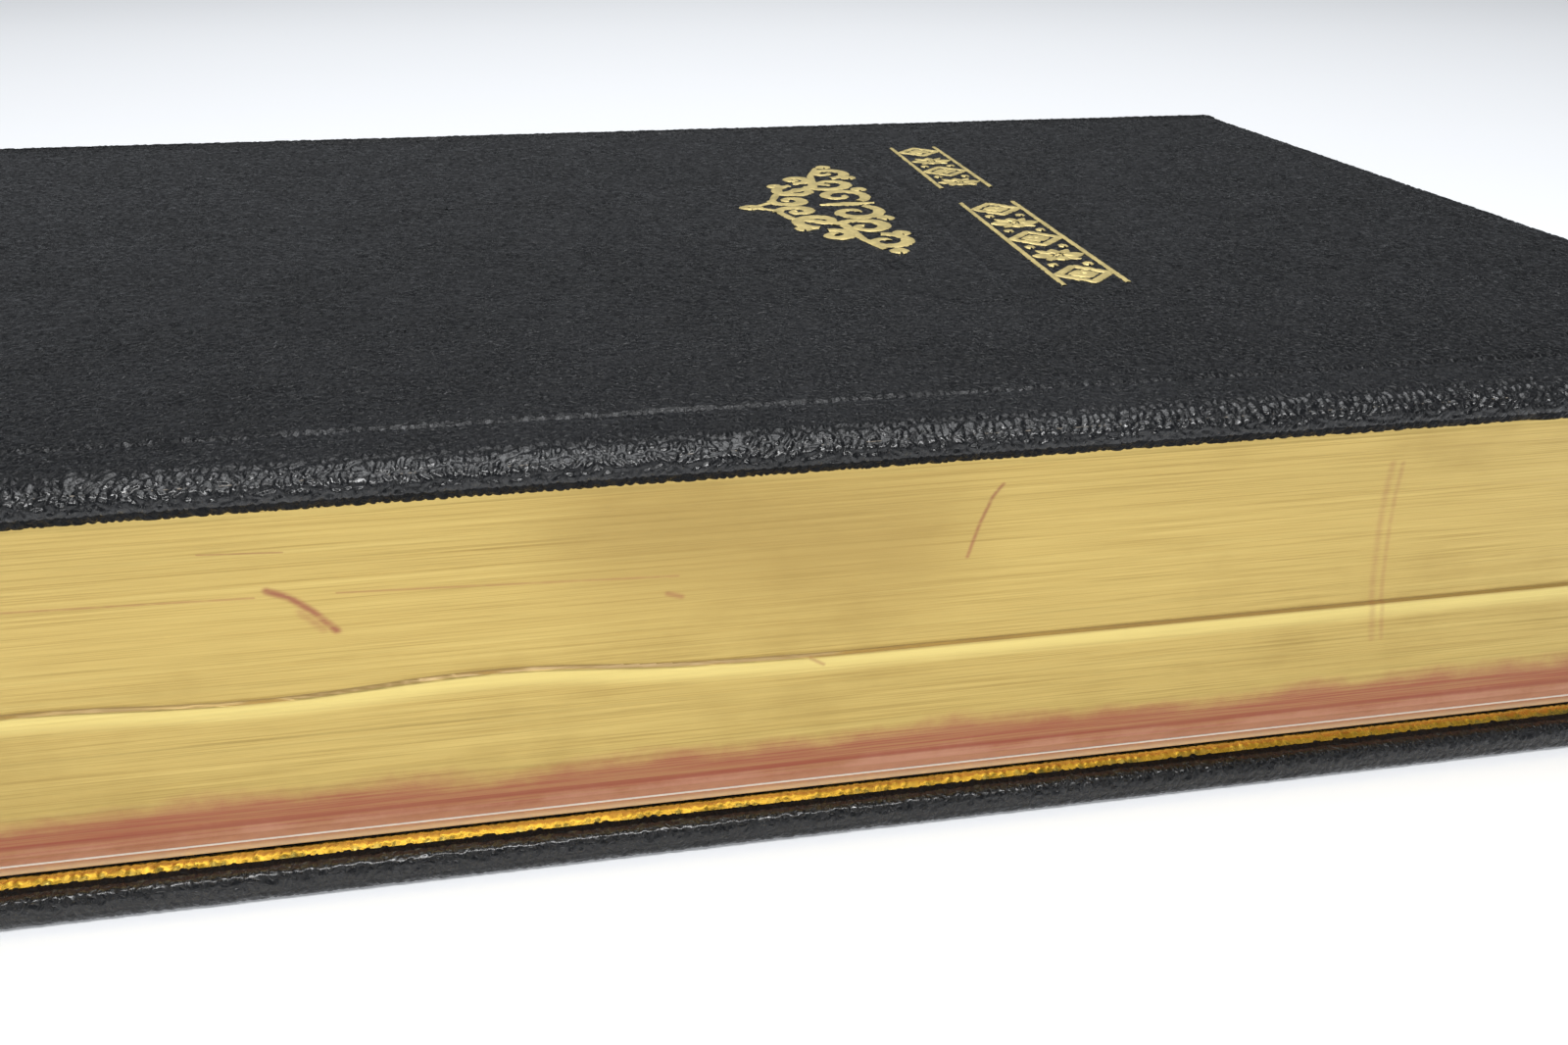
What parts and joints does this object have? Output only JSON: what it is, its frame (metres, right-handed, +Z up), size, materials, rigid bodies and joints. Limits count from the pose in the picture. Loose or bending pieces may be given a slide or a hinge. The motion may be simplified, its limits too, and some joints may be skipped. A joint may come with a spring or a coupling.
{
  "type": "bible",
  "caption": "Thick bible in black pebbled leather with gilt page edges, a blind-tooled cover and gold stamping; opens at both covers.",
  "frame": {"origin": "centre of the closed book's bounding box, on the outer face of the back cover", "axes": "+X from the spine to the fore-edge, +Y from the foot to the head, +Z up through the thickness to the front cover"},
  "size_m": [0.1552, 0.243, 0.0462],
  "materials": {
    "cover_leather": "pebbled, satin",
    "board": "matt",
    "card": "matt",
    "endpaper": "matt",
    "leaves": "thin paper with gilt edges",
    "kraft_paper": "matt",
    "gold_foil": "bright gold foil",
    "mull_cloth": "open weave",
    "tape_cloth": "woven",
    "thread": "twisted",
    "headband_cloth": "woven, dark"
  },
  "bodies": {
    "back_cover": {"back_cover_leather": "cover_leather", "back_board": "board", "back_board_infill": "board", "back_pastedown": "endpaper", "back_gilt_line": "gold_foil"},
    "text_block": {"back_joint_leather": "cover_leather", "back_hinge_cloth": "mull_cloth", "front_joint_leather": "cover_leather", "front_hinge_cloth": "mull_cloth", "spine_leather": "cover_leather", "spine_stiffener": "card", "hollow_tube": "kraft_paper", "spine_lining": "kraft_paper", "mull": "mull_cloth", "sewing_tapes": "tape_cloth", "sewing_thread": "thread", "headband": "headband_cloth", "tailband": "headband_cloth", "front_tipped_margin": "leaves", "back_tipped_margin": "leaves", "section_01": "leaves", "section_02": "leaves", "section_03": "leaves", "section_04": "leaves", "section_05": "leaves", "section_06": "leaves", "section_07": "leaves", "section_08": "leaves", "section_09": "leaves", "section_10": "leaves", "section_11": "leaves", "section_12": "leaves", "section_13": "leaves", "section_14": "leaves", "section_15": "leaves", "section_16": "leaves", "section_17": "leaves", "section_18": "leaves", "section_19": "leaves", "section_20": "leaves"},
    "front_cover": {"front_cover_leather": "cover_leather", "front_board": "board", "front_board_infill": "board", "front_pastedown": "endpaper", "front_gilt_line": "gold_foil", "title_band_foil": "gold_foil", "ornament_foil": "gold_foil"},
    "front_flyleaf_body": {"front_flyleaf": "endpaper"},
    "back_flyleaf_body": {"back_flyleaf": "endpaper"},
    "front_leaf_1_body": {"front_leaf_1": "leaves"},
    "front_leaf_2_body": {"front_leaf_2": "leaves"},
    "front_leaf_3_body": {"front_leaf_3": "leaves"},
    "front_leaf_4_body": {"front_leaf_4": "leaves"},
    "front_leaf_5_body": {"front_leaf_5": "leaves"},
    "back_leaf_1_body": {"back_leaf_1": "leaves"},
    "back_leaf_2_body": {"back_leaf_2": "leaves"},
    "back_leaf_3_body": {"back_leaf_3": "leaves"}
  },
  "joints": [
    {"name": "back_cover_hinge", "type": "hinge", "parent": "text_block", "child": "back_cover", "pos_m": [-0.071, 0, 0.0003], "axis": [0, 1, 0], "range_deg": [0, 180], "deforming": ["back_joint_leather", "back_hinge_cloth"]},
    {"name": "front_cover_hinge", "type": "hinge", "parent": "text_block", "child": "front_cover", "pos_m": [-0.071, 0, 0.0459], "axis": [0, -1, 0], "range_deg": [0, 180], "deforming": ["front_joint_leather", "front_hinge_cloth"]},
    {"name": "front_flyleaf_turn", "type": "hinge", "parent": "text_block", "child": "front_flyleaf_body", "pos_m": [-0.06753, 0, 0.04245], "axis": [0, -1, 0], "range_deg": [0, 129.6]},
    {"name": "front_leaf_1_turn", "type": "hinge", "parent": "text_block", "child": "front_leaf_1_body", "pos_m": [-0.06753, 0, 0.04245], "axis": [0, -1, 0], "range_deg": [0, 108]},
    {"name": "front_leaf_2_turn", "type": "hinge", "parent": "text_block", "child": "front_leaf_2_body", "pos_m": [-0.06753, 0, 0.04245], "axis": [0, -1, 0], "range_deg": [0, 86.4]},
    {"name": "front_leaf_3_turn", "type": "hinge", "parent": "text_block", "child": "front_leaf_3_body", "pos_m": [-0.06753, 0, 0.04245], "axis": [0, -1, 0], "range_deg": [0, 66.6]},
    {"name": "front_leaf_4_turn", "type": "hinge", "parent": "text_block", "child": "front_leaf_4_body", "pos_m": [-0.06753, 0, 0.04245], "axis": [0, -1, 0], "range_deg": [0, 46.8]},
    {"name": "front_leaf_5_turn", "type": "hinge", "parent": "text_block", "child": "front_leaf_5_body", "pos_m": [-0.06753, 0, 0.04245], "axis": [0, -1, 0], "range_deg": [0, 27]},
    {"name": "back_flyleaf_turn", "type": "hinge", "parent": "text_block", "child": "back_flyleaf_body", "pos_m": [-0.06753, 0, 0.00375], "axis": [0, 1, 0], "range_deg": [0, 129.6]},
    {"name": "back_leaf_1_turn", "type": "hinge", "parent": "text_block", "child": "back_leaf_1_body", "pos_m": [-0.06753, 0, 0.00375], "axis": [0, 1, 0], "range_deg": [0, 97.2]},
    {"name": "back_leaf_2_turn", "type": "hinge", "parent": "text_block", "child": "back_leaf_2_body", "pos_m": [-0.06753, 0, 0.00375], "axis": [0, 1, 0], "range_deg": [0, 64.8]},
    {"name": "back_leaf_3_turn", "type": "hinge", "parent": "text_block", "child": "back_leaf_3_body", "pos_m": [-0.06753, 0, 0.00375], "axis": [0, 1, 0], "range_deg": [0, 32.4]}
  ],
  "couplings": [
    {"joint": "front_flyleaf_turn", "follows": "front_cover_hinge", "ratio": 0.72},
    {"joint": "front_leaf_1_turn", "follows": "front_cover_hinge", "ratio": 0.6},
    {"joint": "front_leaf_2_turn", "follows": "front_cover_hinge", "ratio": 0.48},
    {"joint": "front_leaf_3_turn", "follows": "front_cover_hinge", "ratio": 0.37},
    {"joint": "front_leaf_4_turn", "follows": "front_cover_hinge", "ratio": 0.26},
    {"joint": "front_leaf_5_turn", "follows": "front_cover_hinge", "ratio": 0.15},
    {"joint": "back_flyleaf_turn", "follows": "back_cover_hinge", "ratio": 0.72},
    {"joint": "back_leaf_1_turn", "follows": "back_cover_hinge", "ratio": 0.54},
    {"joint": "back_leaf_2_turn", "follows": "back_cover_hinge", "ratio": 0.36},
    {"joint": "back_leaf_3_turn", "follows": "back_cover_hinge", "ratio": 0.18}
  ]
}
